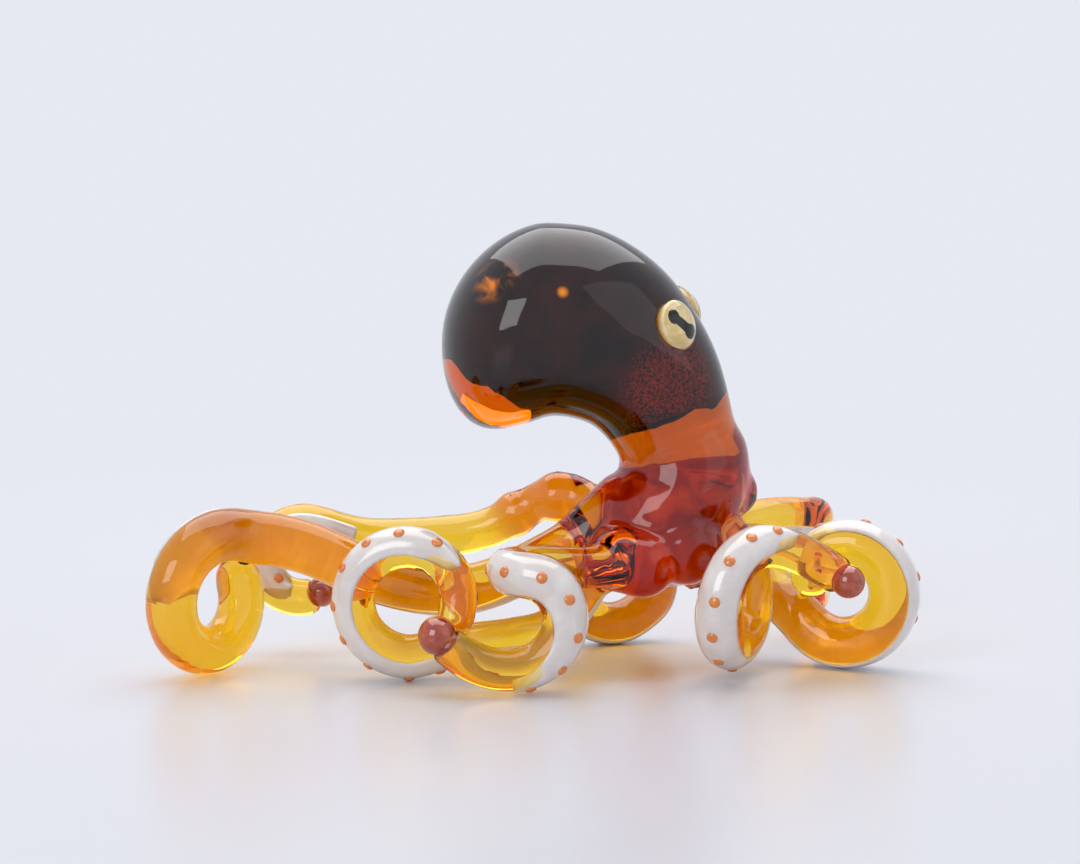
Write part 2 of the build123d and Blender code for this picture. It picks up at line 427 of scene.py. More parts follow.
IVORY = DenseGlass("ivory eye", (0.66, 0.48, 0.19, 1), (0.82, 0.66, 0.32, 1), 420)
PUPIL = DenseGlass(
    "black slit", (0.002, 0.002, 0.002, 1), (0.004, 0.003, 0.003, 1), 600, coat=0.0, specular=0.0
)
FLOOR_COLOUR: Colour = (0.7, 0.705, 0.755, 1)
BACKDROP_COLOUR: Colour = (0.79, 0.815, 0.88, 1)


# Shared shaping


def only(items: list, kind: type) -> list:
    """Items of one kind, such as the edges among what an operator returns."""
    return [item for item in items if isinstance(item, kind)]


def smooth_object(
    name: str, shape: bmesh.types.BMesh, material: bpy.types.Material
) -> bpy.types.Object:
    """Smooth object in the scene from a bmesh.

    Args:
        name: Name of the object.
        shape: Its bmesh, freed here.
        material: Its material.

    Returns:
        The object.
    """
    bmesh.ops.recalc_face_normals(shape, faces=shape.faces)
    mesh = bpy.data.meshes.new(name)
    shape.to_mesh(mesh)
    shape.free()
    for face in mesh.polygons:
        face.use_smooth = True
    mesh.materials.append(material)
    made = bpy.data.objects.new(name, mesh)
    bpy.context.scene.collection.objects.link(made)
    return made


def add_piece(
    name: str,
    shape: bmesh.types.BMesh,
    material: bpy.types.Material,
    nodes: tuple[str, ...],
) -> bpy.types.Object:
    """Smooth piece from a bmesh that stands for nodes of the part.

    Args:
        name: Name of the piece.
        shape: Its bmesh, freed here.
        material: Its material.
        nodes: Nodes that it stands for.

    Returns:
        The object, riding on the body.
    """
    bmesh.ops.remove_doubles(shape, verts=shape.verts, dist=MERGE_DISTANCE)
    piece = smooth_object(name, shape, material)
    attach(piece, BODY)
    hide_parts(*nodes)
    log.info("%s: %d faces", name, len(piece.data.polygons))
    return piece


def axes_matrix(origin: Vector, x_axis: Vector, z_axis: Vector) -> Matrix:
    """Placement with the given X and Z directions.

    Args:
        origin: Its origin.
        x_axis: Direction of X, made square to Z.
        z_axis: Direction of Z.

    Returns:
        The 4 by 4 matrix.
    """
    across = z_axis.normalized()
    along = (x_axis - across * x_axis.dot(across)).normalized()
    turn = Matrix((along, across.cross(along), across)).transposed().to_4x4()
    return Matrix.Translation(origin) @ turn


def draw_out(
    shape: bmesh.types.BMesh, rim: list[bmesh.types.BMEdge], placements: list[Matrix]
) -> list[bmesh.types.BMEdge]:
    """Draws a rim of edges out through placements, one ring of faces to each.

    Args:
        shape: The bmesh.
        rim: Edges of the profile at the first placement.
        placements: The first placement and those that follow.

    Returns:
        The edges of the last rim.
    """
    for before, after in zip(placements, placements[1:]):
        drawn = bmesh.ops.extrude_edge_only(shape, edges=rim)["geom"]
        verts = only(drawn, bmesh.types.BMVert)
        fresh = set(verts)
        rim = [edge for edge in only(drawn, bmesh.types.BMEdge) if fresh.issuperset(edge.verts)]
        bmesh.ops.transform(shape, matrix=after @ before.inverted(), verts=verts)
    return rim


def add_round_body(shape: bmesh.types.BMesh, placements: list[Matrix], segments: int) -> None:
    """Adds a closed round body through unit circles at scaled placements.

    Args:
        shape: The bmesh.
        placements: Placements with the radius as scale.
        segments: Sides of the round.
    """
    ring = bmesh.ops.create_circle(
        shape, cap_ends=True, segments=segments, radius=1, matrix=placements[0]
    )
    rim = list(dict.fromkeys(edge for vert in ring["verts"] for edge in vert.link_edges))
    last = draw_out(shape, rim, placements)
    bmesh.ops.contextual_create(shape, geom=last)


def lengths_along(points: np.ndarray) -> np.ndarray:
    """Length run from the first point to each, straight from point to point."""
    return np.concatenate(([0], np.cumsum(np.linalg.norm(np.diff(points, axis=0), axis=1))))


def cubic_between(
    share: float | np.ndarray,
    start: np.ndarray,
    leave: np.ndarray,
    end: np.ndarray,
    arrive: np.ndarray,
) -> np.ndarray:
    """Smooth value between two values with a slope at each.

    Args:
        share: How far along, from 0 to 1.
        start: Value at 0.
        leave: Slope at 0.
        end: Value at 1.
        arrive: Slope at 1.

    Returns:
        The value there.
    """
    cube, square = share**3, share**2
    return (
        (2 * cube - 3 * square + 1) * start
        + (cube - 2 * square + share) * leave
        + (3 * square - 2 * cube) * end
        + (cube - square) * arrive
    )


def ripple(turn: float, waves: Waves) -> float:
    """Height of a wavy rim.

    Args:
        turn: Angle about the rim, in radians.
        waves: Waves to the round, height and shift of each sine.

    Returns:
        The height, as a share of the rim's own.
    """
    return sum(height * math.sin(count * turn + shift) for count, height, shift in waves)


class SmoothLine:
    """Curve through points with given end directions, evenly divided by length."""

    FINE_STEPS = 24

    def __init__(self, points: np.ndarray, first: np.ndarray, last: np.ndarray) -> None:
        """Solves the slopes at the points.

        Args:
            points: Points as rows.
            first: Slope at the first point, as a direction in the points' own values.
            last: Slope at the last point.
        """
        steps = np.sqrt(np.linalg.norm(np.diff(points, axis=0), axis=1))
        count = len(points)
        system = np.eye(count)
        right = np.zeros_like(points)
        right[0], right[-1] = first * steps[0], last * steps[-1]
        for row in range(1, count - 1):
            before, after = steps[row - 1], steps[row]
            system[row, row - 1 : row + 2] = 1 / before, 2 / before + 2 / after, 1 / after
            rise, onward = points[row] - points[row - 1], points[row + 1] - points[row]
            right[row] = 3 * (rise / before**2 + onward / after**2)
        self.points, self.steps = points, steps
        self.slopes = np.linalg.solve(system, right)
        fine = np.linspace(0, count - 1, (count - 1) * self.FINE_STEPS + 1)
        places = np.array([self.at(place) for place in fine])
        self.fine, self.run = fine, lengths_along(places)

    def at(self, place: float) -> np.ndarray:
        """Point at a place counted in points, such as 1.5 halfway from the second to the third.

        Args:
            place: The place.

        Returns:
            The point.
        """
        row = min(int(place), len(self.steps) - 1)
        step = self.steps[row]
        leave, arrive = self.slopes[row] * step, self.slopes[row + 1] * step
        return cubic_between(place - row, self.points[row], leave, self.points[row + 1], arrive)

    @property
    def length(self) -> float:
        """Length of the curve."""
        return float(self.run[-1])

    def by_share(self, share: float) -> np.ndarray:
        """Point at a share of the length."""
        return self.at(float(np.interp(share * self.run[-1], self.run, self.fine)))

    def share_of(self, index: int) -> float:
        """Share of the length at which a given point lies."""
        return float(np.interp(index, self.fine, self.run) / self.run[-1])


# The figure


@dataclass(frozen=True)
class Station:
    """Round section of the skirt, neck or head, centred in the plane Y 0."""

    x: float
    z: float
    tilt: float
    radius: float

    def placement(self) -> Matrix:
        """Placement of the section.

        Returns:
            The matrix, with the radius as scale.
        """
        lean = math.radians(self.tilt)
        along = Vector((-math.sin(lean), 0, math.cos(lean)))
        out = Vector((math.cos(lean), 0, math.sin(lean)))
        middle = Vector((self.x, 0, self.z))
        return axes_matrix(middle, out, along) @ Matrix.Scale(self.radius, 4)


@dataclass(frozen=True)
class Arm:
    """One arm: a glass rod from the skirt through its run and round an upright curl."""

    name: str
    root_angle: float
    root_height: float
    root_slope: float
    run: tuple[Point, ...]
    centre: Point
    radius: float
    end_radius: float
    heading: float
    start: float
    sweep: float
    girth: float = 1.0
    tightening: float = 1.0
    drift: float = 0.0
    drift_power: float = 1.0
    facing: float = 0.0
    twist: float = 0.0
    bead_radius: float = 0.0025
    red_bead: bool = False
    strip_start: float = 0.0
    strip_end: float = 0.95

    # Sizes that all arms share
    root_radius: float = 0.0032
    middle_radius: float = 0.0037
    tip_radius: float = 0.0032
    hub_x: float = 0.02
    root_reach: float = 0.013
    root_sink: float = 0.005
    curl_step: float = 30
    finish_step: float = 0.1
    ring_step: float = 0.0007
    strip_half_angle: float = 66
    strip_sides: int = 14
    strip_proud: float = 1.012
    strip_depth: float = 0.8
    strip_taper: int = 8
    strip_tip_width: float = 0.2
    sucker_radius: float = 0.0009
    sucker_height: float = 0.0004
    sucker_spacing: float = 0.0044
    sucker_first: float = 0.28
    sucker_last: float = 0.93
    sucker_sides: int = 16
    bead_seat: float = 0.8
    bead_sides: int = 40
    bead_rings: int = 24
    tip_rings: int = 7
    bead_tip: float = 0.4

    def root_direction(self) -> Vector:
        """Direction in which the arm leaves the skirt."""
        turn = math.radians(self.root_angle)
        return Vector((math.cos(turn), math.sin(turn), self.root_slope)).normalized()

    def curl_axes(self) -> tuple[Vector, Vector]:
        """Directions of the curl's upright plane.

        Returns:
            The level direction in the plane, and the side that the drift follows.
        """
        turn = math.radians(self.heading)
        ahead = Vector((math.cos(turn), math.sin(turn), 0))
        return ahead, ahead.cross(UP)

    def curl_point(self, share: float) -> Vector:
        """Point of the curl.

        Args:
            share: Share of its sweep.

        Returns:
            The point.
        """
        ahead, side = self.curl_axes()
        angle = math.radians(self.start + self.sweep * share)
        radius = self.radius + (self.end_radius - self.radius) * share**self.tightening
        outward = ahead * math.cos(angle) + UP * math.sin(angle)
        return Vector(self.centre) + outward * radius + side * self.drift * share**self.drift_power

    def line(self) -> SmoothLine:
        """Centre line of the rod.

        Returns:
            The smooth line from the skirt to the tip.
        """
        turn = math.radians(self.root_angle)
        reach = self.root_reach
        root = (self.hub_x + reach * math.cos(turn), reach * math.sin(turn), self.root_height)
        steps = math.ceil(abs(self.sweep) / self.curl_step)
        curl = [self.curl_point(step / steps) for step in range(steps + 1)]
        finish = (curl[-1] - self.curl_point(1 - self.finish_step / steps)).normalized()
        points = np.array([root, *self.run, *curl])
        return SmoothLine(points, np.array(self.root_direction()), np.array(finish))

    def rod_radius(self, share: float) -> float:
        """Radius of the rod at a share of its length."""
        radii = (self.root_radius, self.middle_radius, self.tip_radius)
        return float(np.interp(share, (0, 0.5, 1), radii)) * self.girth

    def placements(self) -> list[Matrix]:
        """Placements along the rod, X towards the white strip, Z ahead, with the radius as scale.

        Returns:
            One placement to each ring, evenly spaced from the skirt to the tip.
        """
        line = self.line()
        curl_share = line.share_of(1 + len(self.run))
        count = math.ceil(line.length / self.ring_step)
        shares = [step / count for step in range(count + 1)]
        points = [Vector(line.by_share(share)) for share in shares]
        tangents = [self.root_direction()]
        tangents += [(after - before).normalized() for before, after in zip(points, points[2:])]
        tangents.append((points[-1] - points[-2]).normalized())
        carried, facing = [], -UP
        for tangent in tangents:
            facing = (facing - tangent * facing.dot(tangent)).normalized()
            carried.append(facing)
        roll = self._curl_roll(curl_share, line, carried, tangents)
        result = []
        for share, point, tangent, facing in zip(shares, points, tangents, carried):
            eased = min(share / curl_share, 1)
            turn = roll * eased**2 * (3 - 2 * eased)
            turn += self.twist * max(share - curl_share, 0) / (1 - curl_share)
            strip = Matrix.Rotation(math.radians(turn), 3, tangent) @ facing
            place = axes_matrix(point, strip, tangent)
            result.append(place @ Matrix.Scale(self.rod_radius(share), 4))
        return result

    def _curl_roll(
        self,
        curl_share: float,
        line: SmoothLine,
        carried: list[Vector],
        tangents: list[Vector],
    ) -> float:
        """Turn of the strip about the rod by the curl's first point.

        Args:
            curl_share: Share of the length at which the curl starts.
            line: Centre line of the rod.
            carried: Directions of the strip before it is turned.
            tangents: Directions of the rod.

        Returns:
            The turn in degrees.
        """
        index = round(curl_share * (len(carried) - 1))
        _, side = self.curl_axes()
        viewer_side = side if side.dot(VIEWER) > 0 else -side
        spoke = Vector(line.by_share(curl_share)) - Vector(self.centre)
        outward = (spoke - side * spoke.dot(side)).normalized()
        asked = math.radians(self.facing)
        facing = outward * math.cos(asked) + viewer_side * math.sin(asked)
        tangent, carry = tangents[index], carried[index]
        square = facing - tangent * facing.dot(tangent)
        return math.degrees(math.atan2(tangent.dot(carry.cross(square)), carry.dot(square)))

    def build(self) -> None:
        """Makes the strip, suckers and bead; the rod is part of the glass body."""
        placements = self.placements()
        self._strip(placements)
        self._suckers(placements)
        if self.red_bead:
            self._bead(placements[-1])

    def rod_path(self) -> list[Matrix]:
        """Sections of the round rod, sunk into the skirt, with a round tip, blunt under a bead.

        Returns:
            The placements, with the radius as scale.
        """
        placements = self.placements()
        sunk = Matrix.Translation(-self.root_direction() * self.root_sink)
        path = [sunk @ placements[0], *placements]
        depth = self.bead_tip if self.red_bead else 1
        for ring in range(1, self.tip_rings):
            angle = math.pi / 2 * ring / self.tip_rings
            ahead = Matrix.Translation((0, 0, depth * math.sin(angle)))
            path.append(placements[-1] @ (ahead @ Matrix.Scale(math.cos(angle), 4)))
        return path

    def rod_nodes(self) -> tuple[str, ...]:
        """Nodes of the part that the rod stands for."""
        return (f"arm_{self.name}",) if self.red_bead else (f"arm_{self.name}", f"bead_{self.name}")

    def _strip(self, placements: list[Matrix]) -> None:
        """White band fused into the belly of the rod.

        Args:
            placements: Placements along the rod.
        """
        count = len(placements)
        path = placements[round(count * self.strip_start) : round(count * self.strip_end)]
        for ring in range(self.strip_taper):
            opened = math.sqrt(ring / self.strip_taper)
            width = self.strip_tip_width + (1 - self.strip_tip_width) * opened
            path[-1 - ring] = path[-1 - ring] @ Matrix.Diagonal((1, width, 1, 1))
        shape = bmesh.new()
        half = self.strip_half_angle
        angles = np.radians(np.linspace(-half, half, self.strip_sides + 1))
        spokes = [(math.cos(angle), math.sin(angle)) for angle in angles]
        outer = [(self.strip_proud * x, self.strip_proud * y, 0) for x, y in spokes]
        inner = [(self.strip_depth * x, self.strip_depth * y, 0) for x, y in reversed(spokes)]
        verts = [shape.verts.new(point) for point in outer + inner]
        face = shape.faces.new(verts)
        bmesh.ops.transform(shape, matrix=path[0], verts=verts)
        last = draw_out(shape, list(face.edges), path)
        bmesh.ops.contextual_create(shape, geom=last)
        node = f"belly_{self.name}"
        add_piece(f"strip_{self.name}", shape, OPAL.material(), (node,))

    def _suckers(self, placements: list[Matrix]) -> None:
        """Row of low round suckers melted onto the strip.

        Args:
            placements: Placements along the rod.
        """
        length = self.line().length
        first = max(self.sucker_first, self.strip_start)
        last = min(self.sucker_last, self.strip_end)
        count = int((last - first) * length / self.sucker_spacing)
        size = Matrix.Diagonal((self.sucker_radius, self.sucker_radius, self.sucker_height, 1))
        shape = bmesh.new()
        for step in range(count + 1):
            share = first + step * self.sucker_spacing / length
            place = placements[round(share * (len(placements) - 1))]
            belly = place.col[0].to_3d()
            seat = axes_matrix(place.translation + belly, place.col[2].to_3d(), belly)
            bmesh.ops.create_uvsphere(
                shape, u_segments=self.sucker_sides, v_segments=self.sucker_sides // 2,
                radius=1, matrix=seat @ size,
            )
        node = f"suckers_{self.name}"
        add_piece(f"dots_{self.name}", shape, SUCKER.material(), (node,))

    def _bead(self, tip: Matrix) -> None:
        """Red ball melted onto the tip.

        Args:
            tip: Last placement of the rod.
        """
        ahead = tip.col[2].to_3d().normalized()
        stand = self.bead_radius * math.sqrt(1 - self.bead_seat**2)
        place = Matrix.Translation(tip.translation + ahead * stand)
        shape = bmesh.new()
        bmesh.ops.create_uvsphere(
            shape, u_segments=self.bead_sides, v_segments=self.bead_rings,
            radius=self.bead_radius, matrix=place,
        )
        node = f"bead_{self.name}"
        add_piece(f"ball_{self.name}", shape, BEAD.material(), (node,))


ARMS = (
    Arm("left_arch", 187, 0.0205, -0.55,
        ((-0.005, -0.0055, 0.0146), (-0.015, -0.0075, 0.0128),
         (-0.028, -0.0085, 0.0162), (-0.037, -0.0086, 0.02)),
        (-0.049, -0.013, 0.01219), 0.0108, 0.0074, 46, 62, 315,
        girth=1.18, tightening=0.7, drift=-0.005, facing=-90, strip_end=0.73),
    Arm("front_left_ring", 217, 0.0155, -0.8,
        ((0.0044, -0.0106, 0.0089), (-0.004, -0.0136, 0.0063)),
        (-0.0196, -0.016, 0.01288), 0.0091, 0.0074, 0, -62, -318,
        girth=0.95, tightening=2, drift=0.0052, drift_power=2, facing=12, twist=18, strip_end=0.9),
    Arm("front_curl", 247, 0.0178, 0,
        ((0.0094, -0.0156, 0.0177), (0.0024, -0.0154, 0.0177), (-0.0023, -0.0168, 0.0179),
         (-0.0041, -0.0208, 0.0181), (-0.0024, -0.0248, 0.018)),
        (-0.0028, -0.0265, 0.01159), 0.0071, 0.0115, 0, 54, -216,
        tightening=5, drift=0.002, facing=80, twist=-130, bead_radius=0.003, red_bead=True,
        strip_start=0.3, strip_end=0.82),
    Arm("back_left", 142, 0.024, 0.4,
        ((0.0052, 0.011, 0.0262), (-0.001, 0.013, 0.0236), (-0.0085, 0.0139, 0.0196),
         (-0.0178, 0.014, 0.0182), (-0.029, 0.012, 0.0184)),
        (-0.0385, 0.008, 0.01486), 0.0066, 0.0054, 0, 70, 222,
        girth=0.98, drift=0.002, facing=115, red_bead=True, strip_start=0.6),
    Arm("back_ring", 92, 0.0215, -0.3, (),
        (0.0126, 0.0152, 0.0119), 0.0086, 0.0078, 25, -18, -210,
        girth=0.97, drift=-0.0015, facing=-25),
    Arm("front_right_ring", 337, 0.0195, -0.5, (),
        (0.0308, -0.014, 0.01378), 0.0088, 0.0048, 66, -34, -292,
        tightening=5, drift=0.016, drift_power=4, bead_radius=0.0026, red_bead=True,
        strip_end=0.85),
    Arm("right_spiral", 11, 0.017, -0.5, ((0.038, 0.0008, 0.0118),),
        (0.0488, -0.0055, 0.01315), 0.0089, 0.0048, -20, 215, 300,
        girth=1.14, tightening=3.5, drift=0.0035, facing=-38),
    Arm("back_right", 43, 0.019, 0.4, ((0.0375, 0.0135, 0.0216),),
        (0.046, 0.021, 0.01332), 0.0075, 0.006, 80, 100, -220, girth=0.97, facing=180),
)


@dataclass(frozen=True)
class Lobe:
    """Round swelling of the hot glass."""

    centre: Point
    radius: float


@dataclass(frozen=True)
class Body:
    """Skirt, neck and tall leaning head in one run of amber glass, with two cores of colour."""

    skirt: tuple[Station, ...] = (
        Station(0.02, 0.0132, 0, 0.0076),
        Station(0.0198, 0.0165, 0, 0.0094),
        Station(0.0198, 0.0205, 0, 0.0112),
        Station(0.0206, 0.0244, 0, 0.0122),
        Station(0.022, 0.0278, 0, 0.012),
        Station(0.0232, 0.0308, 4, 0.011),
    )
    neck: tuple[Station, ...] = (
        Station(0.0234, 0.0342, 10, 0.0102),
        Station(0.0217, 0.0372, 9, 0.0102),
    )
    mantle: tuple[Station, ...] = (
        Station(0.0199, 0.0407, 13, 0.0111),
        Station(0.0173, 0.0449, 26, 0.0125),
        Station(0.0148, 0.0477, 35, 0.0136),
        Station(0.0104, 0.0518, 53, 0.0151),
        Station(0.0045, 0.0542, 70, 0.0164),
        Station(-0.0019, 0.0543, 79, 0.0168),
    )
    lobes: tuple[Lobe, ...] = (
        Lobe((0.0035, 0.0112, 0.0253), 0.0044),
        Lobe((-0.0035, 0.0134, 0.0222), 0.004),
        Lobe((0.0315, 0.001, 0.0275), 0.0042),
        Lobe((0.0235, -0.0085, 0.0195), 0.0058),
        Lobe((0.0137, -0.008, 0.0185), 0.0056),
        Lobe((0.0115, 0.0005, 0.0205), 0.0056),
        Lobe((0.0131, -0.012, 0.0183), 0.0052),
        Lobe((0.0165, -0.0115, 0.0175), 0.0054),
    )
    core_share: float = 0.66
    core_dome: float = 0.8
    core_cut: Point = (-0.0055, 0.0019, 0.0482)
    core_cut_normal: Point = (-0.492, 0.259, -0.832)
    core_wave: float = 0.0007
    core_waves: Waves = ((3, 1, 0), (7, 0.6, 1))
    cut_waves: Waves = ((5, 1, 0), (9, 0.6, 0))
    skirt_core_share: float = 0.6
    skirt_wave: float = 0.0016
    skirt_waves: Waves = ((2, 1, 0), (5, 0.5, 0))
    rim_slack: float = 0.08
    dome_length: float = 0.0135
    dome_tilt: float = 88
    dome_droop: float = 99
    dome_rings: int = 18
    rings_between: int = 5
    sides: int = 72
    rod_sides: int = 32
    lobe_sides: int = 32
    horn_start: float = 0.009
    horn_reach: float = 0.003
    horn_swell: float = 1.8
    voxel: float = 0.00056
    rounding: int = 30
    rounding_factor: float = 0.5

    def upright(self, stations: tuple[Station, ...]) -> list[Station]:
        """Even run of sections through stations.

        Args:
            stations: Stations from below upwards.

        Returns:
            The sections.
        """
        rows = np.array([(s.x, s.z, s.tilt, s.radius) for s in stations])
        knots = lengths_along(rows[:, :2])
        places = np.linspace(0, len(rows) - 1, (len(rows) - 1) * self.rings_between + 1)
        spots = np.interp(places, range(len(rows)), knots)
        eased = [self._through(knots, rows[:, column], spots) for column in range(4)]
        return [Station(*map(float, values)) for values in zip(*eased)]

    def sections(self, stations: tuple[Station, ...], dome_length: float) -> list[Station]:
        """Even run of sections through stations, with the dome on the last.

        Args:
            stations: Stations from below up to the widest of the head.
            dome_length: Reach of the dome.

        Returns:
            The sections.
        """
        sections = self.upright(stations)
        base, droop = stations[-1], math.radians(self.dome_droop)
        for ring in range(1, self.dome_rings):
            angle = ring / self.dome_rings * math.pi / 2
            reach = dome_length * math.sin(angle)
            tilt = base.tilt + (self.dome_tilt - base.tilt) * ring / self.dome_rings
            x, z = base.x - reach * math.sin(droop), base.z + reach * math.cos(droop)
            sections.append(Station(x, z, tilt, base.radius * math.cos(angle)))
        return sections

    @staticmethod
    def _through(knots: np.ndarray, values: np.ndarray, spots: np.ndarray) -> np.ndarray:
        """Smooth values between stations.

        Args:
            knots: Distances of the stations.
            values: Their values.
            spots: Distances at which values are asked for.

        Returns:
            The values there.
        """
        slopes = np.gradient(values, knots)
        row = np.clip(np.searchsorted(knots, spots, side="right") - 1, 0, len(knots) - 2)
        step = knots[row + 1] - knots[row]
        share = (spots - knots[row]) / step
        leave, arrive = step * slopes[row], step * slopes[row + 1]
        return cubic_between(share, values[row], leave, values[row + 1], arrive)

    def build(self, arms: tuple[Arm, ...]) -> None:
        """Makes the glass body with every arm's rod, melted together, and the two cores in it.

        Args:
            arms: Arms that leave the skirt.
        """
        shape = bmesh.new()
        nodes = ["mantle_casing", "neck_core", "web"]
        outline = self.sections(self.skirt + self.neck + self.mantle, self.dome_length)
        add_round_body(shape, [section.placement() for section in outline], self.sides)
        for arm in arms:
            self._horn(shape, arm)
            add_round_body(shape, arm.rod_path(), self.rod_sides)
            nodes += arm.rod_nodes()
        for lobe in self.lobes:
            place = Matrix.Translation(lobe.centre)
            bmesh.ops.create_uvsphere(
                shape, u_segments=self.lobe_sides, v_segments=self.lobe_sides // 2,
                radius=lobe.radius, matrix=place,
            )
        body = add_piece("body", shape, AMBER.material(), tuple(nodes))
        melt = body.modifiers.new("melt", "REMESH")
        melt.mode = "VOXEL"
        melt.voxel_size = self.voxel
        melt.use_smooth_shade = True
        rounding = body.modifiers.new("rounding", "SMOOTH")
        rounding.factor = self.rounding_factor
        rounding.iterations = self.rounding
        self._core()
        self._skirt_core()

    def _skirt_core(self) -> None:
        """Deep red heart of the skirt, wavy where it meets the clear neck."""
        shape = bmesh.new()
        shrink = Matrix.Scale(self.skirt_core_share, 4)
        sections = self.upright(self.skirt)
        add_round_body(shape, [section.placement() @ shrink for section in sections], self.sides)
        top = self.skirt[-1]
        rim = [vert for vert in shape.verts if abs(vert.co.z - top.z) < top.radius * self.rim_slack]
        for vert in rim:
            turn = math.atan2(vert.co.y, vert.co.x - top.x)
            vert.co.z += self.skirt_wave * ripple(turn, self.skirt_waves)
        add_piece("skirt_heart", shape, SKIRT_CORE.material(), ("web",))

    def _core(self) -> None:
        """Dark mantle with wavy edges, cut off short of the glass at the lower back of the head."""
        shape = bmesh.new()
        shrink = Matrix.Scale(self.core_share, 4)
        sections = self.sections(self.mantle, self.dome_length * self.core_dome)
        add_round_body(shape, [section.placement() @ shrink for section in sections], self.sides)
        shape.verts.ensure_lookup_table()
        base = self.mantle[0]
        for vert in shape.verts[: self.sides]:
            turn = math.atan2(vert.co.y, vert.co.x - base.x)
            vert.co.z += self.core_wave * ripple(turn, self.core_waves)
        slant = Vector(self.core_cut_normal).normalized()
        cut = bmesh.ops.bisect_plane(
            shape, geom=shape.verts[:] + shape.edges[:] + shape.faces[:],
            plane_co=Vector(self.core_cut), plane_no=slant, clear_outer=True,
        )
        for vert in only(cut["geom_cut"], bmesh.types.BMVert):
            turn = math.atan2(vert.co.y, vert.co.x - self.core_cut[0])
            vert.co += slant * self.core_wave * ripple(turn, self.cut_waves)
        bmesh.ops.contextual_create(shape, geom=only(cut["geom_cut"], bmesh.types.BMEdge))
        add_piece("mantle", shape, MANTLE.material(), ("mantle_core",))

    def _horn(self, shape: bmesh.types.BMesh, arm: Arm) -> None:
        """Adds a tapered horn from inside the skirt out to an arm's root.

        Args:
            shape: The bmesh of the body.
            arm: The arm.
        """
        root, ahead = Vector(arm.line().points[0]), arm.root_direction()
        length = self.horn_start + self.horn_reach
        centre = root + ahead * (self.horn_reach - length / 2)
        place = axes_matrix(centre, UP.cross(ahead), ahead)
        thin = arm.rod_radius(0)
        bmesh.ops.create_cone(
            shape, cap_ends=True, segments=self.rod_sides, radius1=thin * self.horn_swell,
            radius2=thin, depth=length, matrix=place,
        )


@dataclass(frozen=True)
class Eye:
    """Ivory disc in the head, with a black slit and a clear lens."""

    name: str
    floor: Point
    along: Point
    out: Point
    radius: float = 0.0038
    height: float = 0.0017
    edge_round: float = 0.0005
    lens_height: float = 0.0016
    lens_sink: float = 0.0002
    slit_length: float = 0.0058
    slit_width: float = 0.0014
    slit_end_radius: float = 0.0011
    slit_proud: float = 0.00006
    slit_depth: float = 0.0004
    slit_bar_share: float = 0.98
    sides: int = 64
    edge_segments: int = 4
    slit_sides: int = 32
    level_slack: float = 1e-6

    def build(self) -> None:
        """Makes the disc, slit and lens."""
        floor = axes_matrix(Vector(self.floor), Vector(self.along), Vector(self.out))
        front = floor @ Matrix.Translation((0, 0, self.height))
        self._disc(floor)
        self._slit(front)
        self._lens(front)

    def _disc(self, floor: Matrix) -> None:
        """Ivory disc with a rounded front edge.

        Args:
            floor: Placement of its back.
        """
        shape = bmesh.new()
        bmesh.ops.create_cone(
            shape, cap_ends=True, segments=self.sides, radius1=self.radius, radius2=self.radius,
            depth=self.height, matrix=floor @ Matrix.Translation((0, 0, self.height / 2)),
        )
        level = floor.col[2].to_3d()
        front = floor.translation + level * self.height
        rim = {v for v in shape.verts if abs((v.co - front).dot(level)) < self.level_slack}
        edges = [edge for edge in shape.edges if rim.issuperset(edge.verts)]
        bmesh.ops.bevel(
            shape, geom=edges, offset=self.edge_round, affect="EDGES",
            segments=self.edge_segments, profile=0.5, material=-1,
        )
        node = f"eyeball_{self.name}"
        add_piece(f"ivory_{self.name}", shape, IVORY.material(), (node,))

    def _slit(self, front: Matrix) -> None:
        """Black slit with swollen round ends.

        Args:
            front: Placement of the disc's front.
        """
        shape = bmesh.new()
        reach = self.slit_length / 2 - self.slit_end_radius
        depth = self.slit_depth + self.slit_proud
        middle = front @ Matrix.Translation((0, 0, self.slit_proud - depth / 2))
        bar = Matrix.Diagonal((2 * reach, self.slit_width, depth * self.slit_bar_share, 1))
        bmesh.ops.create_cube(shape, size=1, matrix=middle @ bar)
        for end in (-reach, reach):
            bmesh.ops.create_cone(
                shape, cap_ends=True, segments=self.slit_sides, radius1=self.slit_end_radius,
                radius2=self.slit_end_radius, depth=depth,
                matrix=middle @ Matrix.Translation((end, 0, 0)),
            )
        node = f"pupil_{self.name}"
        piece = add_piece(f"slit_{self.name}", shape, PUPIL.material(), (node,))
        for face in piece.data.polygons:
            face.use_smooth = False

    def _lens(self, front: Matrix) -> None:
        """Clear dome over the disc.

        Args:
            front: Placement of the disc's front.
        """
        ball = (self.radius**2 + self.lens_height**2) / (2 * self.lens_height)
        centre = front @ Matrix.Translation((0, 0, self.lens_height - ball))
        shape = bmesh.new()
        bmesh.ops.create_uvsphere(
            shape, u_segments=self.sides, v_segments=self.sides, radius=ball, matrix=centre
        )
        level = front.col[2].to_3d()
        cut = bmesh.ops.bisect_plane(
            shape, geom=shape.verts[:] + shape.edges[:] + shape.faces[:],
            plane_co=front.translation - level * self.lens_sink, plane_no=level, clear_inner=True,
        )
        bmesh.ops.contextual_create(shape, geom=only(cut["geom_cut"], bmesh.types.BMEdge))
        node = f"lens_{self.name}"
        add_piece(f"dome_{self.name}", shape, LENS.material(), (node,))


EYES = (
    Eye(
        "near", (0.021097, -0.008488, 0.054696),
        (0.6363, 0.4501, -0.6265), (0.7149, -0.6493, 0.2595),
    ),
    Eye(
        "far", (0.022789, 0.00516, 0.056041),
        (0.5233, -0.4615, -0.7164), (0.8443, 0.3947, 0.3625),
    ),
)


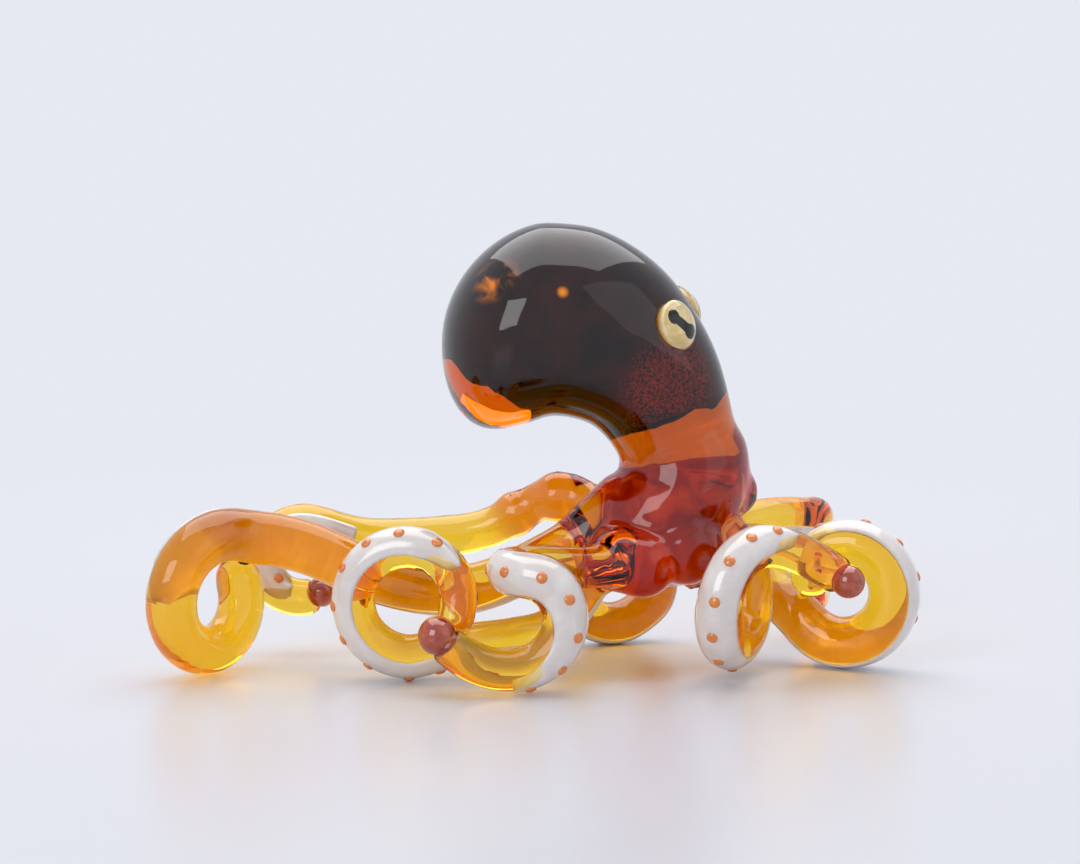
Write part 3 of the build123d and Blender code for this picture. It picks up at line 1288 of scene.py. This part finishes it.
@dataclass(frozen=True)
class Lamp:
    """Square soft lamp."""

    name: str
    place: Point
    size: float
    power: float

    def build(self, target: Vector) -> None:
        """Makes the lamp, out of the camera's sight.

        Args:
            target: Point that it faces.
        """
        light = bpy.data.lights.new(self.name, "AREA")
        light.size = self.size
        light.energy = self.power
        lamp = bpy.data.objects.new(self.name, light)
        lamp.location = self.place
        lamp.visible_camera = False
        facing = target - Vector(self.place)
        lamp.rotation_euler = facing.to_track_quat("-Z", "Y").to_euler()
        bpy.context.scene.collection.objects.link(lamp)


@dataclass(frozen=True)
class Studio:
    """Pale floor that sweeps up into a backdrop, soft lamps and the camera."""

    floor_half: float = 1.2
    floor_roughness: float = 0.3
    sweep_start: float = 0.5
    sweep_radius: float = 0.4
    sweep_steps: int = 24
    wall_height: float = 1.5
    haze_start: float = 0.1
    haze_end: float = 0.42
    lamps: tuple[Lamp, ...] = (
        Lamp("softbox", (-0.55, -0.9, 0.5), 0.6, 4.0),
        Lamp("fill", (0.5, -0.3, 0.35), 0.5, 0.35),
        Lamp("overhead", (0.0, 0.2, 0.6), 0.8, 4.2),
    )
    light_colour: Colour = (0.9, 0.93, 1, 1)
    light_front: float = -0.8
    light_back: float = 0.4
    light_low: float = 0.12
    light_high: float = 0.6
    focal: float = 100
    sensor: float = 36
    clip_start: float = 0.01
    distance: float = 0.48
    elevation: float = 6.2
    target: Point = (0.0005, 0, 0.0372)

    def build(self) -> None:
        """Makes the floor, lamps, world and camera."""
        self._floor()
        for lamp in self.lamps:
            lamp.build(Vector(self.target))
        self._world()
        self._camera()
        bpy.context.scene.view_settings.view_transform = "Standard"

    def _floor(self) -> None:
        """Floor with a curved rise behind, in one sheet."""
        shape = bmesh.new()
        half = self.floor_half
        left, right = shape.verts.new((-half, -half, 0)), shape.verts.new((half, -half, 0))
        rim = [shape.edges.new((left, right))]
        flat = Matrix.Translation((0, half + self.sweep_start, 0))
        rim = draw_out(shape, rim, [Matrix.Identity(4), flat])
        axle = Vector((0, self.sweep_start, self.sweep_radius))
        swept = bmesh.ops.spin(
            shape, geom=rim, cent=axle, axis=(1, 0, 0), angle=math.pi / 2,
            steps=self.sweep_steps, use_merge=False,
        )
        rim = only(swept["geom_last"], bmesh.types.BMEdge)
        draw_out(shape, rim, [Matrix.Identity(4), Matrix.Translation((0, 0, self.wall_height))])
        floor = smooth_object("studio floor", shape, self._floor_material())

    def _floor_material(self) -> bpy.types.Material:
        """Pale floor that keeps shadows near the figure and fades into the even backdrop.

        Returns:
            The material.
        """
        material, shader = new_material("pale floor")
        shader.inputs["Base Color"].default_value = FLOOR_COLOUR
        shader.inputs["Roughness"].default_value = self.floor_roughness
        tree = material.node_tree
        reach = {FadeSocket.NEAR: self.haze_start, FadeSocket.FAR: self.haze_end}
        near = place_group(tree, distance_fade(), reach)
        share = tree.nodes.new("ShaderNodeMath")
        share.operation = "SUBTRACT"
        share.use_clamp = True
        glow = tree.nodes.new("ShaderNodeEmission")
        glow.inputs["Color"].default_value = BACKDROP_COLOUR
        mix = tree.nodes.new("ShaderNodeMixShader")
        link = tree.links.new
        link(seen_rays(tree), share.inputs[0])
        link(near, share.inputs[1])
        link(share.outputs[0], mix.inputs["Fac"])
        link(shader.outputs["BSDF"], mix.inputs[1])
        link(glow.outputs["Emission"], mix.inputs[2])
        link(mix.outputs["Shader"], tree.nodes["Material Output"].inputs["Surface"])
        return material

    def _world(self) -> None:
        """Pale light all round, dim on the viewer's side, that is seen as the even backdrop."""
        world = bpy.data.worlds.new("studio light")
        world.use_nodes = True
        tree = world.node_tree
        background = tree.nodes["Background"]
        background.inputs["Color"].default_value = self.light_colour
        place = tree.nodes.new("ShaderNodeTexCoord")
        parts = tree.nodes.new("ShaderNodeSeparateXYZ")
        depth = tree.nodes.new("ShaderNodeMapRange")
        depth.inputs["From Min"].default_value = self.light_front
        depth.inputs["From Max"].default_value = self.light_back
        depth.inputs["To Min"].default_value = self.light_low
        depth.inputs["To Max"].default_value = self.light_high
        backdrop = tree.nodes.new("ShaderNodeBackground")
        backdrop.inputs["Color"].default_value = BACKDROP_COLOUR
        mix = tree.nodes.new("ShaderNodeMixShader")
        link = tree.links.new
        link(place.outputs["Generated"], parts.inputs["Vector"])
        link(parts.outputs["Y"], depth.inputs["Value"])
        link(depth.outputs["Result"], background.inputs["Strength"])
        link(seen_rays(tree), mix.inputs["Fac"])
        link(background.outputs["Background"], mix.inputs[1])
        link(backdrop.outputs["Background"], mix.inputs[2])
        link(mix.outputs["Shader"], tree.nodes["World Output"].inputs["Surface"])
        bpy.context.scene.world = world

    def _camera(self) -> None:
        """Camera at the photograph's angle."""
        lens = bpy.data.cameras.new("camera")
        lens.lens = self.focal
        lens.sensor_width = self.sensor
        lens.sensor_fit = "HORIZONTAL"
        lens.clip_start = self.clip_start
        camera = bpy.data.objects.new("camera", lens)
        rise = math.radians(self.elevation)
        back = Vector((0, -math.cos(rise), math.sin(rise))) * self.distance
        camera.location = Vector(self.target) + back
        camera.rotation_euler = (math.pi / 2 - rise, 0, 0)
        bpy.context.scene.collection.objects.link(camera)
        bpy.context.scene.camera = camera


def main() -> None:
    """Loads the frame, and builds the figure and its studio."""
    logging.basicConfig(level=logging.INFO)
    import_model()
    Body().build(ARMS)
    for eye in EYES:
        eye.build()
    for arm in ARMS:
        arm.build()
    Studio().build()
    bpy.context.view_layer.update()


if __name__ == "__main__":
    main()
